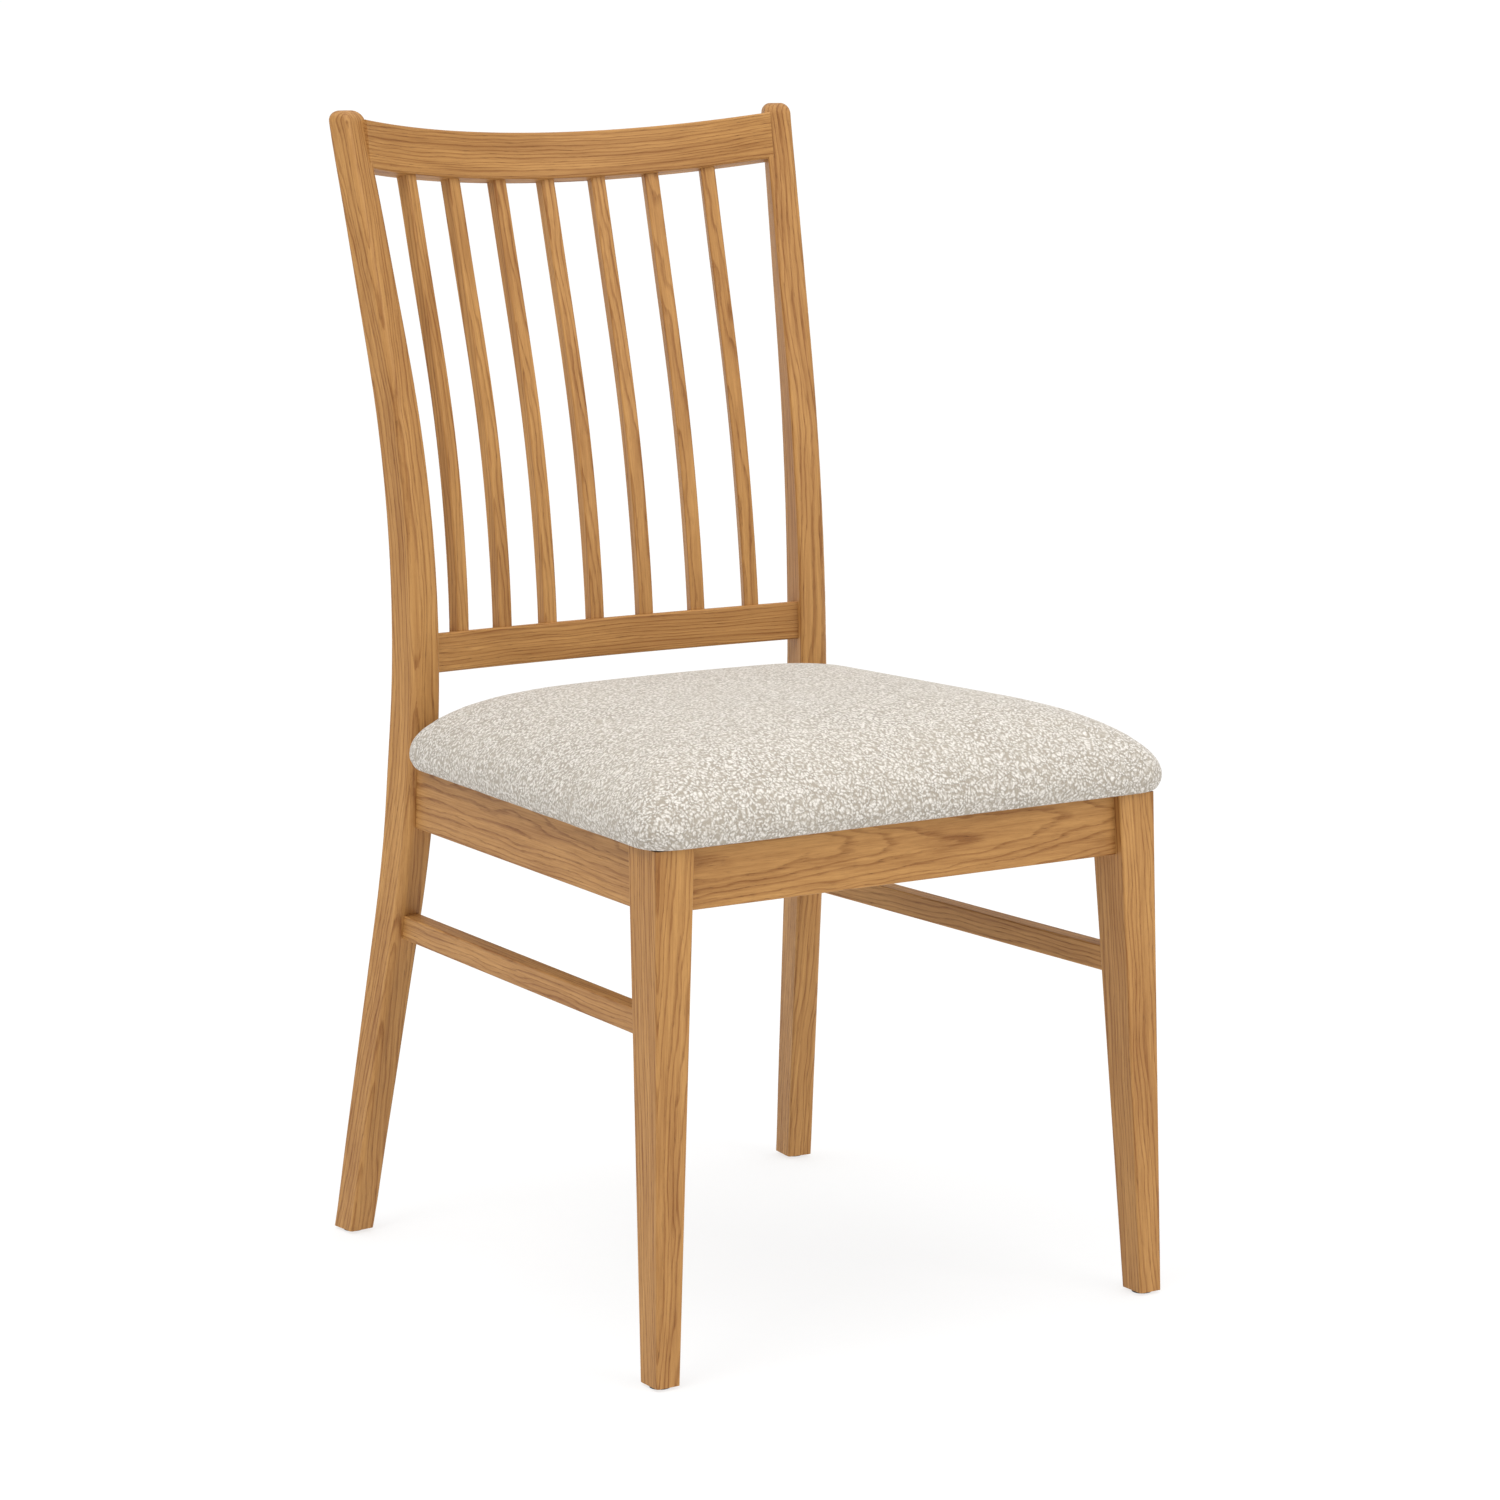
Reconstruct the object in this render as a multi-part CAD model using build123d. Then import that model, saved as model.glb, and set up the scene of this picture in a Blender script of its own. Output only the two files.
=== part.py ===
from build123d import *
from math import asin, cos, pi, radians, sin, sqrt
import os

# Slat-back dining chair with an upholstered seat. Millimetres, +Z up, front towards -Y.
# Lengths along Y are measured back from the front feet until the last step, which centres
# the chair over the origin. Left is -X. Left pieces are built and mirrored to the right.

# ---------------------------------------------------------------- driving dimensions
chair_height = 960.0
glide_height = 2.5            # plastic glide under each foot
frame_top = 418.0             # top of the seat rails and the front legs

# Front legs: outer front edge at the floor and at the top, and the section at each end.
leg_edge_x = (241.5, 234.0)
leg_edge_y = (0.0, 6.4)
leg_width = (20.8, 34.3)
leg_depth = (25.7, 42.5)
leg_rounding = 2.0

# Rear posts: straight below and above, with one long bend between these heights.
post_bend = (285.0, 762.0)
post_foot_y = 520.6
post_rake = (-0.2014, 0.243)  # backward run per unit of height, below and above the bend
post_foot_x = 237.2
post_splay = (-0.075, 0.048)  # outward run per unit of height, below and above the bend
post_width = (23.4, 26.8, 23.6)       # at the floor, at the seat and at the top
post_depth = (28.0, 36.0, 21.5)
post_turn_floor = 5.6         # degrees that the front face turns towards the middle
post_turn_seat = 10.0
post_turn_top = 24.0
post_rounding = 2.5
post_outer_rounding = (2.5, 8.0, 4.0)  # outer front edge, fullest at the seat
post_steps = 16               # even steps between the sections of a post
crown_height = 9.0            # rounded top of each post
crown_inset = 7.5
crown_sweep = 80.0            # degrees of the rounding's arc
crown_steps = 6
post_flat = 1.0               # half of the flat left between two rounded edges at the crown

# Crest rail and lower back rail: arcs in planes that tilt down to the back, with front faces
# that lean back less than those planes tilt. Tilt and lean are in degrees.
crest_middle = (572.0, 938.0)         # front top edge at the middle, Y and Z
crest_radius = 413.0
crest_tilt = 17.2
crest_lean = 8.4
crest_height = 40.3
crest_thickness = 17.0
crest_half_span = 199.0
lower_middle = (488.1, 522.4)
lower_radius = 479.0
lower_tilt = 7.7
lower_lean = 1.0
lower_height = 33.1
lower_thickness = 18.0
lower_half_span = 188.0
rail_rounding = 2.0

# Slats
slat_count = 7
slat_pitch = (48.5, 49.7)     # at the lower back rail and at the crest
slat_width = 13.0
slat_depth = 12.0
slat_recess = 3.9             # behind the front faces of the two rails
slat_rounding = 1.5
slat_tenon_width = 9.0
slat_tenon_depth = 8.0
slat_tenon_length = 13.0
slat_steps = 7
slat_follow_x = 205.0         # a slat this far out would bend sideways as much as the posts
slat_spare = 8.0              # extra length that is trimmed to the rails

# Seat rails
rail_thickness = 18.0
front_rail_bottom = 368.0
front_rail_face_y = 15.0
side_rail_bottom = 364.0
side_rail_ends = ((221.5, 40.0), (203.0, 456.0))  # outer face, X and Y at each end
rear_rail_bottom = 366.0
rear_rail_face_y = 453.0
rail_reach = (207.0, 188.0)   # half length of the front and rear rails before fitting
edge_rounding = 1.5

# Stretchers
stretcher_bottom = 266.8
stretcher_height = 20.7
stretcher_thickness = 16.0
stretcher_ends = ((225.5, 30.0), (209.0, 475.0))
stretcher_tenon_thickness = 8.0
stretcher_tenon_height = 13.0
stretcher_tenon_length = 14.0
stretcher_tenon_root = 12.0   # how far the tenon starts inside the stretcher
stretcher_shoulders = (41.0, 466.0)   # Y of the leg's rear face and the post's front face

# Corner blocks, dowels, screws
block_leg = 62.0              # length of each short side
block_height = 30.0
block_wall = 3.0              # how far each block's corner lies inside its side rail
side_rail_corner_x = (205.5, 190.0)   # block corners, front and rear
dowel_diameter = 8.0
dowel_length = 36.0
dowel_gap = 1.0               # glue space at each end of a dowel
joint_x = (201.0, 181.5)      # faces that the front and rear rails meet
side_joint_y = (49.0, 447.0)  # faces that the side rails meet
back_joint_x = (195.0, 181.0)         # faces that the crest and the lower rail meet
dowel_spread = (13.0, 15.0, 5.0)      # from the middle: front rail, side rails, rear rail
back_dowel_length = 26.0
back_dowel_spread = 8.0
screw_diameter = 4.0
screw_head_diameter = 8.0
screw_head_height = 2.5
screw_bore_diameter = 9.0
block_screw_length = 26.0
block_screw_seat = 12.0       # wood between the screw head and the rail
block_screw_place = 38.0      # from the block's corner
seat_screw_length = 36.0
seat_screw_recess = 4.0
seat_screw_place = 20.5       # from the block's corner, both ways

# Glides
glide_diameter = 17.0
glide_rounding = 0.8
nail_diameter = 2.0
nail_length = 16.0
nail_head_diameter = 5.0
nail_head_height = 0.8
nail_recess = 0.7

# Seat: plan of the cover, then the heights of what is inside it
seat_front_y = -3.0
seat_rear_y = 441.0
seat_half_width = (243.0, 216.0)      # at the front and at the rear
seat_corner_radius = 24.0
seat_corner_growth = 0.25     # added to the corner radius per unit of inset
seat_rear_bow = 22.0          # the rear edge swells back between the posts
cover_thickness = 2.0
cover_wrap = 58.0             # how far the fabric reaches in under the board
board_thickness = 12.0
board_inset = 14.0
seat_side_height = 13.0       # where the side of the seat is fullest
seat_crown = 76.0             # middle of the seat above the frame
seat_bottom_inset = 6.0
seat_low_inset = 1.2          # halfway between the bottom and the fullest height
seat_crown_inset = 150.0
seat_crown_sweep = 86.0       # degrees of the crown's arc, flat again in the middle
seat_crown_steps = 9
dust_thickness = 0.8
dust_overlap = 12.0
staple_width = 10.0
staple_wire = 0.6
staple_leg = 5.0
staple_spacing = 40.0
staple_count = 6


# ---------------------------------------------------------------- shared helpers
def blend(value, ends):
    """Straight change between two end values, for a fraction from 0 to 1."""
    return ends[0] + (ends[1] - ends[0]) * value


def bend_run(height, run):
    """Sideways run of a post at a height: straight, one even bend, straight again."""
    low, high = post_bend
    inside = min(max(height - low, 0.0), high - low)
    change = (run[1] - run[0]) / (high - low)
    past = max(height - high, 0.0)
    return run[0] * height + change * inside * inside / 2 + (run[1] - run[0]) * past


def post_bow(height, low, high, run):
    """How far a post's bend leaves the straight line between two heights."""
    part = (height - low) / (high - low)
    return bend_run(height, run) - blend(part, (bend_run(low, run), bend_run(high, run)))


def by_height(height, values):
    """Value at a height, from its values at the floor, the seat and the top."""
    if height < frame_top:
        return blend(height / frame_top, values[:2])
    return blend((height - frame_top) / (chair_height - frame_top), values[1:])


def rounded_box_face(width, depth, radii):
    """Rectangle from its own corner, with a radius for each corner."""
    corners = [(0, 0), (width, 0), (width, depth), (0, depth)]
    return make_face(FilletPolyline(*corners, radius=radii, close=True))


def cylinder_between(start, direction, length, diameter):
    """Cylinder from a point along a direction."""
    plane = Plane(origin=start, z_dir=direction)
    return extrude(plane * Circle(diameter / 2), amount=length)


def mirrored(shape):
    """Right-hand copy of a left-hand piece."""
    return mirror(shape, about=Plane.YZ)


def with_right(pieces):
    """Left-hand pieces followed by their right-hand copies."""
    return pieces + [mirrored(piece) for piece in pieces]


# ---------------------------------------------------------------- legs and posts
def leg_section(height):
    """Section of the left front leg at a height."""
    part = height / frame_top
    x = -blend(part, leg_edge_x)
    y = blend(part, leg_edge_y)
    face = rounded_box_face(blend(part, leg_width), blend(part, leg_depth), leg_rounding)
    return Pos(x, y, height) * face


def front_leg():
    """Left front leg, tapered on its two inner faces."""
    return loft([leg_section(glide_height), leg_section(frame_top)], ruled=True)


def post_edge(height):
    """Outer front edge of the left post: X, Y and the turn of its front face."""
    x = -(post_foot_x + bend_run(height, post_splay))
    y = post_foot_y + bend_run(height, post_rake)
    if height < frame_top:
        turn = blend(height / frame_top, (post_turn_floor, post_turn_seat))
    else:
        part = (height - frame_top) / (chair_height - frame_top)
        turn = post_turn_seat + (post_turn_top - post_turn_seat) * part * part
    return x, y, turn


def post_section(height, inset=0.0):
    """Section of the left post at a height, drawn in from all sides by the inset."""
    x, y, turn = post_edge(height)
    width = by_height(height, post_width) - 2 * inset
    depth = by_height(height, post_depth) - 2 * inset
    outer = min(by_height(height, post_outer_rounding), width / 2 - post_flat)
    radii = [outer, post_rounding, post_rounding, post_rounding]
    face = Pos(inset, inset) * rounded_box_face(width, depth, radii)
    return Pos(x, y, height) * Rot(0, 0, turn) * face


def rear_post():
    """Left rear leg and back upright in one piece, with a rounded top."""
    shaft_top = chair_height - crown_height
    levels = [blend(step / post_steps, (glide_height, shaft_top)) for step in range(post_steps + 1)]
    shaft = loft([post_section(height) for height in levels])
    crown = []
    for step in range(crown_steps + 1):
        angle = radians(crown_sweep) * step / crown_steps
        height = shaft_top + crown_height * sin(angle) / sin(radians(crown_sweep))
        crown.append(post_section(height, crown_inset * (1 - cos(angle))))
    return shaft + loft(crown)


# ---------------------------------------------------------------- back rails and slats
def arc_plane(middle, tilt):
    """Plane of a back rail's upper face: X across, Y to the back and down."""
    y, z = middle
    normal = (0, sin(radians(tilt)), cos(radians(tilt)))
    return Plane(origin=(0, y, z), x_dir=(1, 0, 0), z_dir=normal)


def arc_depth(x, radius):
    """How far an arc with its middle at 0 has come forward at a distance x."""
    return sqrt(radius * radius - x * x) - radius


def down_face(lean):
    """Direction down a back rail's front face."""
    return Vector(0, -sin(radians(lean)), -cos(radians(lean)))


def back_rail(middle, radius, tilt, lean, height, thickness, half_span):
    """Curved rail of the back before its ends are cut to the posts."""
    front = [(x, arc_depth(x, radius)) for x in (-half_span, 0, half_span)]
    half_angle = asin(half_span / radius)
    outer = radius + thickness
    back_end = outer * sin(half_angle)
    back_y = outer * cos(half_angle) - radius
    back = [(back_end, back_y), (0, thickness), (-back_end, back_y)]
    outline = [ThreePointArc(*front), Line(front[2], back[0]), ThreePointArc(*back), Line(back[2], front[0])]
    face = arc_plane(middle, tilt) * make_face(outline)
    body = extrude(face, amount=height, dir=down_face(lean))
    long_edges = body.edges().filter_by(lambda edge: edge.length > half_span)
    return fillet(long_edges, rail_rounding)


def rail_point(x, middle, radius, tilt, lean, behind, below):
    """Point of a back rail at a distance x, measured back and down from its front top edge."""
    depth = arc_depth(x, radius + behind) + behind
    return arc_plane(middle, tilt).from_local_coords(Vector(x, depth, 0)) + down_face(lean) * below


def slat_body(index, width, depth, reach):
    """One slat along its bent line, reaching past both rails' faces by a length."""
    low_x = index * slat_pitch[0]
    high_x = index * slat_pitch[1]
    behind = slat_recess + slat_depth / 2
    low = rail_point(low_x, lower_middle, lower_radius, lower_tilt, lower_lean, behind, 0)
    high = rail_point(high_x, crest_middle, crest_radius, crest_tilt, crest_lean, behind, crest_height)
    turns = (degrees_of(low_x, lower_radius), degrees_of(high_x, crest_radius))
    rise = high.Z - low.Z
    spare = reach / rise
    sections = []
    for step in range(slat_steps):
        part = -spare + (1 + 2 * spare) * step / (slat_steps - 1)
        height = low.Z + rise * part
        inward = post_bow(height, low.Z, high.Z, post_splay) / slat_follow_x
        x = blend(part, (low.X, high.X)) * (1 + inward)
        y = blend(part, (low.Y, high.Y)) + post_bow(height, low.Z, high.Z, post_rake)
        face = Pos(-width / 2, -depth / 2) * rounded_box_face(width, depth, slat_rounding)
        sections.append(Pos(x, y, height) * Rot(0, 0, -blend(part, turns)) * face)
    return loft(sections)


def degrees_of(x, radius):
    """Turn of an arc's face at a distance from its middle."""
    return asin(x / radius) * 180 / pi


# ---------------------------------------------------------------- seat frame
def side_bar(ends, thickness, bottom, height):
    """Left bar that runs from front to back, from its outer face inwards."""
    (front_x, front_y), (rear_x, rear_y) = ends
    corners = [
        (-front_x, front_y),
        (-front_x + thickness, front_y),
        (-rear_x + thickness, rear_y),
        (-rear_x, rear_y),
    ]
    bar = extrude(Pos(0, 0, bottom) * make_face(Polyline(*corners, close=True)), amount=height)
    long_edges = bar.edges().filter_by(lambda edge: edge.length > height + thickness)
    return fillet(long_edges, edge_rounding)


def cross_bar(half_length, face_y, bottom):
    """Bar that runs from left to right under the seat."""
    height = frame_top - bottom
    bar = Pos(0, face_y + rail_thickness / 2, bottom + height / 2) * Box(
        2 * half_length, rail_thickness, height
    )
    long_edges = bar.edges().filter_by(Axis.X)
    return fillet(long_edges, edge_rounding)


def side_direction(ends):
    """Direction of a left side bar from front to back."""
    (front_x, front_y), (rear_x, rear_y) = ends
    return Vector(front_x - rear_x, rear_y - front_y, 0).normalized()


def side_point(ends, thickness, y, height):
    """Point in the middle of a left side bar at a distance Y and a height."""
    (front_x, front_y), (rear_x, rear_y) = ends
    x = -blend((y - front_y) / (rear_y - front_y), (front_x, rear_x)) + thickness / 2
    return Vector(x, y, height)


def stretcher_tenon(shoulder_y, forward):
    """Tenon of the left stretcher, from inside it to its depth in a leg or post."""
    direction = side_direction(stretcher_ends) * (-1 if forward else 1)
    shoulder = side_point(
        stretcher_ends, stretcher_thickness, shoulder_y, stretcher_bottom + stretcher_height / 2
    )
    start = shoulder - direction * stretcher_tenon_root
    plane = Plane(origin=start, x_dir=(0, 0, 1), z_dir=direction)
    face = plane * Rectangle(stretcher_tenon_height, stretcher_tenon_thickness)
    return extrude(face, amount=stretcher_tenon_root + stretcher_tenon_length)


def dowel_pair(middle, direction, spread_axis, spread, length):
    """Two dowels across a joint, and the slightly longer holes that hold them."""
    dowels = []
    holes = []
    for side in (-1, 1):
        centre = Vector(*middle) + Vector(*spread_axis) * (side * spread)
        along = Vector(*direction).normalized()
        dowels.append(cylinder_between(centre - along * (length / 2), along, length, dowel_diameter))
        bore = length + 2 * dowel_gap
        holes.append(cylinder_between(centre - along * (bore / 2), along, bore, dowel_diameter))
    return dowels, holes


def back_joint(middle, radius, tilt, lean, height, thickness, x):
    """Dowels and holes at the left end of a back rail."""
    point = rail_point(x, middle, radius, tilt, lean, thickness / 2, height / 2)
    plane = arc_plane(middle, tilt)
    angle = asin(x / radius)
    along = plane.x_dir * cos(angle) - plane.y_dir * sin(angle)
    return dowel_pair(point, along, down_face(lean), back_dowel_spread, back_dowel_length)


# ---------------------------------------------------------------- corner blocks and screws
def corner_block(corner_x, corner_y, back):
    """Triangular block with its right angle at a corner; back is 1 in front, -1 at the rear."""
    corners = [
        (corner_x, corner_y),
        (corner_x + block_leg, corner_y),
        (corner_x, corner_y + back * block_leg),
    ]
    top = frame_top - dust_thickness
    face = Pos(0, 0, top - block_height) * make_face(Polyline(*corners, close=True))
    return extrude(face, amount=block_height)


def screw(head_base, direction, length):
    """Pan-head screw, and the bore that lets its head in."""
    shank = cylinder_between(head_base, direction, length, screw_diameter)
    backward = Vector(*direction) * -1
    head = cylinder_between(head_base, backward, screw_head_height, screw_head_diameter)
    bore = cylinder_between(head_base, backward, block_leg, screw_bore_diameter)
    return shank + head, bore


def block_hardware(corner_x, rail_x, corner_y, back):
    """Two rail screws and one seat screw of a left block, with their bores."""
    middle = frame_top - dust_thickness - block_height / 2
    base = frame_top - dust_thickness - block_height + seat_screw_recess
    across = screw(
        (corner_x + block_screw_place, corner_y + back * block_screw_seat, middle),
        (0, -back, 0),
        block_screw_length,
    )
    along = screw(
        (rail_x + block_screw_seat, corner_y + back * block_screw_place, middle),
        (-1, 0, 0),
        block_screw_length,
    )
    seat_place = (corner_x + seat_screw_place, corner_y + back * seat_screw_place, base)
    upward = screw(seat_place, (0, 0, 1), seat_screw_length)
    return across, along, upward


# ---------------------------------------------------------------- seat
def seat_outline(inset):
    """Plan of the seat drawn in by an inset, with a rear edge that swells to the back."""
    front, rear = seat_half_width
    front_left = (-(front - inset), seat_front_y + inset)
    front_right = (front - inset, seat_front_y + inset)
    rear_right = (rear - inset, seat_rear_y - inset)
    rear_left = (-(rear - inset), seat_rear_y - inset)
    bow = seat_rear_bow * ((rear - inset) / rear) ** 2
    rear_middle = (0, seat_rear_y - inset + bow)
    outline = [
        Line(front_left, front_right),
        Line(front_right, rear_right),
        ThreePointArc(rear_right, rear_middle, rear_left),
        Line(rear_left, front_left),
    ]
    face = make_face(outline)
    return fillet(face.vertices(), seat_corner_radius + seat_corner_growth * inset)


def seat_form(gap):
    """Crowned outer form of the seat, drawn in by a gap on every side."""
    fullest = frame_top + seat_side_height
    bottom = frame_top + gap
    crown = seat_crown - seat_side_height - gap
    sections = [Pos(0, 0, bottom) * seat_outline(seat_bottom_inset + gap)]
    sections.append(Pos(0, 0, (bottom + fullest) / 2) * seat_outline(seat_low_inset + gap))
    for step in range(seat_crown_steps + 1):
        angle = radians(seat_crown_sweep) * step / seat_crown_steps
        inset = gap + seat_crown_inset * (1 - cos(angle))
        sections.append(Pos(0, 0, fullest + crown * sin(angle)) * seat_outline(inset))
    return loft(sections, ruled=True)


def seat_slab(inset, bottom, thickness):
    """Flat slab with the plan of the seat."""
    return extrude(Pos(0, 0, bottom) * seat_outline(inset), amount=thickness)


def staple(x, y, turn):
    """One wire staple driven up through the cloth and the fabric."""
    base = frame_top - dust_thickness - staple_wire
    crown = Pos(0, 0, staple_wire / 2) * Box(staple_width, staple_wire, staple_wire)
    legs = []
    for side in (-1, 1):
        leg_x = side * (staple_width - staple_wire) / 2
        legs.append(Pos(leg_x, 0, staple_leg / 2) * Box(staple_wire, staple_wire, staple_leg))
    return Pos(x, y, base) * Rot(0, 0, turn) * (crown + legs)


def staples():
    """Staples along the four edges of the dust cover, clear of the corner blocks."""
    inset = cover_wrap - dust_overlap / 2
    front_y = seat_front_y + inset
    rear_y = seat_rear_y - inset
    found = []
    for step in range(staple_count):
        place = (step - (staple_count - 1) / 2) * staple_spacing
        found.append(staple(place, front_y, 0))
        found.append(staple(place, rear_y, 0))
        y = (front_y + rear_y) / 2 + place
        part = (y - seat_front_y) / (seat_rear_y - seat_front_y)
        x = blend(part, seat_half_width) - inset
        found.append(staple(-x, y, 90))
        found.append(staple(x, y, 90))
    return found


# ---------------------------------------------------------------- glides
def glide(x, y):
    """Round glide under a foot, its nail, and the recess of the nail's head."""
    disc = Pos(x, y, glide_height / 2) * Cylinder(glide_diameter / 2, glide_height)
    disc = fillet(disc.edges().group_by(Axis.Z)[0], glide_rounding)
    head = cylinder_between((x, y, nail_recess), (0, 0, 1), nail_head_height, nail_head_diameter)
    shank_base = nail_recess + nail_head_height
    shank = cylinder_between((x, y, shank_base), (0, 0, 1), nail_length, nail_diameter)
    nail = head + shank
    recess = cylinder_between((x, y, 0), (0, 0, 1), nail_recess, nail_head_diameter)
    return disc - nail - recess, nail


# ---------------------------------------------------------------- assembly
def cut(shape, tools):
    """A shape with each tool in a list taken out of it in turn."""
    for tool in tools:
        shape = shape - tool
    return shape


def build():
    """Every node of the chair by name, before it is centred over the origin."""
    leg = front_leg()
    post = rear_post()
    leg_right = mirrored(leg)
    post_right = mirrored(post)

    # Seat rails
    both = [leg, leg_right, post, post_right]
    front_rail = cross_bar(rail_reach[0], front_rail_face_y, front_rail_bottom) - both
    rear_rail = cross_bar(rail_reach[1], rear_rail_face_y, rear_rail_bottom) - both
    side_height = frame_top - side_rail_bottom
    side_rail = side_bar(side_rail_ends, rail_thickness, side_rail_bottom, side_height)
    side_rail = cut(side_rail, [leg, post, rear_rail])

    # Stretchers
    stretcher = side_bar(stretcher_ends, stretcher_thickness, stretcher_bottom, stretcher_height)
    tenons = [stretcher_tenon(stretcher_shoulders[0], True), stretcher_tenon(stretcher_shoulders[1], False)]
    stretcher = (stretcher - [leg, post]) + tenons

    # Back rails and slats
    crest_form = (crest_middle, crest_radius, crest_tilt, crest_lean, crest_height, crest_thickness)
    lower_form = (lower_middle, lower_radius, lower_tilt, lower_lean, lower_height, lower_thickness)
    crest = back_rail(*crest_form, crest_half_span)
    lower = back_rail(*lower_form, lower_half_span)
    slats = {}
    mortises = []
    for number in range(1, slat_count + 1):
        index = number - (slat_count + 1) / 2
        core = slat_body(index, slat_tenon_width, slat_tenon_depth, slat_tenon_length)
        shaft = slat_body(index, slat_width, slat_depth, slat_spare) - [crest, lower]
        slats[f"slat_{number}"] = shaft + core
        mortises.append(core)
    crest = crest - [post, post_right] - mortises
    lower = lower - [post, post_right] - mortises

    # Dowels of the left half
    middle = (frame_top + front_rail_bottom) / 2
    front_dowels, front_holes = dowel_pair(
        (-joint_x[0], front_rail_face_y + rail_thickness / 2, middle), (1, 0, 0), (0, 0, 1),
        dowel_spread[0], dowel_length,
    )
    rear_dowels, rear_holes = dowel_pair(
        (-joint_x[1], rear_rail_face_y + rail_thickness / 2, middle), (1, 0, 0), (0, 0, 1),
        dowel_spread[2], dowel_length,
    )
    side_dowels = []
    side_holes = []
    for y in side_joint_y:
        point = side_point(side_rail_ends, rail_thickness, y, (frame_top + side_rail_bottom) / 2)
        pair, holes = dowel_pair(
            point, side_direction(side_rail_ends), (0, 0, 1), dowel_spread[1], dowel_length
        )
        side_dowels += pair
        side_holes += holes
    crest_dowels, crest_holes = back_joint(*crest_form, -back_joint_x[0])
    lower_dowels, lower_holes = back_joint(*lower_form, -back_joint_x[1])

    # Corner blocks and their screws, left half
    front_corner = (side_rail_corner_x[0], front_rail_face_y + rail_thickness)
    rear_corner = (side_rail_corner_x[1], rear_rail_face_y)
    blocks = {}
    block_screws = []
    seat_screws = []
    rail_cuts = []
    for place, (x, y), back, wood in (
        ("front", front_corner, 1, [leg, side_rail]),
        ("rear", rear_corner, -1, [post, side_rail]),
    ):
        hardware = block_hardware(-x, -x + block_wall, y, back)
        screws = [piece for piece, bore in hardware]
        bores = [bore for piece, bore in hardware]
        block_screws += screws[:2]
        seat_screws.append(screws[2])
        rail_cuts += screws[:2]
        blocks[place] = cut(corner_block(-x, y, back), wood + screws + bores)

    seat_screws = with_right(seat_screws)

    # Glides
    foot_x, foot_y, foot_turn = post_edge(0)
    rear_foot = Pos(foot_x, foot_y, 0) * Rot(0, 0, foot_turn) * Pos(post_width[0] / 2, post_depth[0] / 2)
    front_foot = (-leg_edge_x[0] + leg_width[0] / 2, leg_edge_y[0] + leg_depth[0] / 2)
    glides = {
        "front": glide(*front_foot),
        "rear": glide(rear_foot.position.X, rear_foot.position.Y),
    }

    # Cuts in the left pieces
    leg = cut(leg, tenons + front_holes + side_holes + [glides["front"][1]])
    all_post_cuts = tenons + rear_holes + side_holes + crest_holes + lower_holes
    post = cut(post, all_post_cuts + [glides["rear"][1]])
    side_rail = cut(side_rail, side_holes + rail_cuts)

    # Cuts in the cross pieces, both halves
    front_rail = cut(front_rail, with_right(front_holes + rail_cuts))
    rear_rail = cut(rear_rail, with_right(rear_holes + rail_cuts))
    crest = cut(crest, with_right(crest_holes))
    lower = cut(lower, with_right(lower_holes))

    # Seat
    core = seat_form(cover_thickness)
    board = seat_slab(board_inset, frame_top + cover_thickness, board_thickness)
    opening = seat_slab(cover_wrap, frame_top, cover_thickness)
    dust = seat_slab(cover_wrap - dust_overlap, frame_top - dust_thickness, dust_thickness)
    fastenings = seat_screws + staples()
    cover = seat_form(0) - core - opening
    foam = core - board

    nodes = {
        "front_leg_left": leg,
        "front_leg_right": mirrored(leg),
        "rear_post_left": post,
        "rear_post_right": mirrored(post),
        "crest_rail": crest,
        "lower_back_rail": lower,
        **slats,
        "front_rail": front_rail,
        "rear_rail": rear_rail,
        "side_rail_left": side_rail,
        "side_rail_right": mirrored(side_rail),
        "stretcher_left": stretcher,
        "stretcher_right": mirrored(stretcher),
        "seat_rail_dowels": Compound(with_right(front_dowels + rear_dowels + side_dowels)),
        "back_dowels": Compound(with_right(crest_dowels + lower_dowels)),
        "block_screws": Compound(with_right(block_screws)),
        "seat_screws": Compound(seat_screws),
        "glide_nails": Compound(with_right([glides["front"][1], glides["rear"][1]])),
        "seat_board": board - fastenings,
        "seat_foam": foam,
        "seat_cover": cover - fastenings,
        "dust_cover": dust - fastenings,
        "cover_staples": Compound(staples()),
    }
    for place, block in blocks.items():
        nodes[f"corner_block_{place}_left"] = block
        nodes[f"corner_block_{place}_right"] = mirrored(block)
    for place, (disc, nail) in glides.items():
        nodes[f"glide_{place}_left"] = disc
        nodes[f"glide_{place}_right"] = mirrored(disc)
    return nodes


chair = build()
box = Compound(list(chair.values())).bounding_box()
centre = Pos(-(box.min.X + box.max.X) / 2, -(box.min.Y + box.max.Y) / 2, -box.min.Z)
os.makedirs("parts", exist_ok=True)
for name, shape in chair.items():
    export_step(centre * shape, f"parts/{name}.step")
print("shift along Y", round(centre.position.Y, 3), "size", box.size)
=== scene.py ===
"""Looks of a slat-back dining chair with an upholstered seat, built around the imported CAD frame.

Metres, +Z up, front towards -Y. The timber, the board and the fittings keep their CAD meshes and
get materials. The upholstery and the dust cover are built here and replace their CAD solids.
"""
import math

import bmesh
import bpy
import numpy as np
from mathutils import Matrix, Vector, noise
from mathutils.bvhtree import BVHTree


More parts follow.
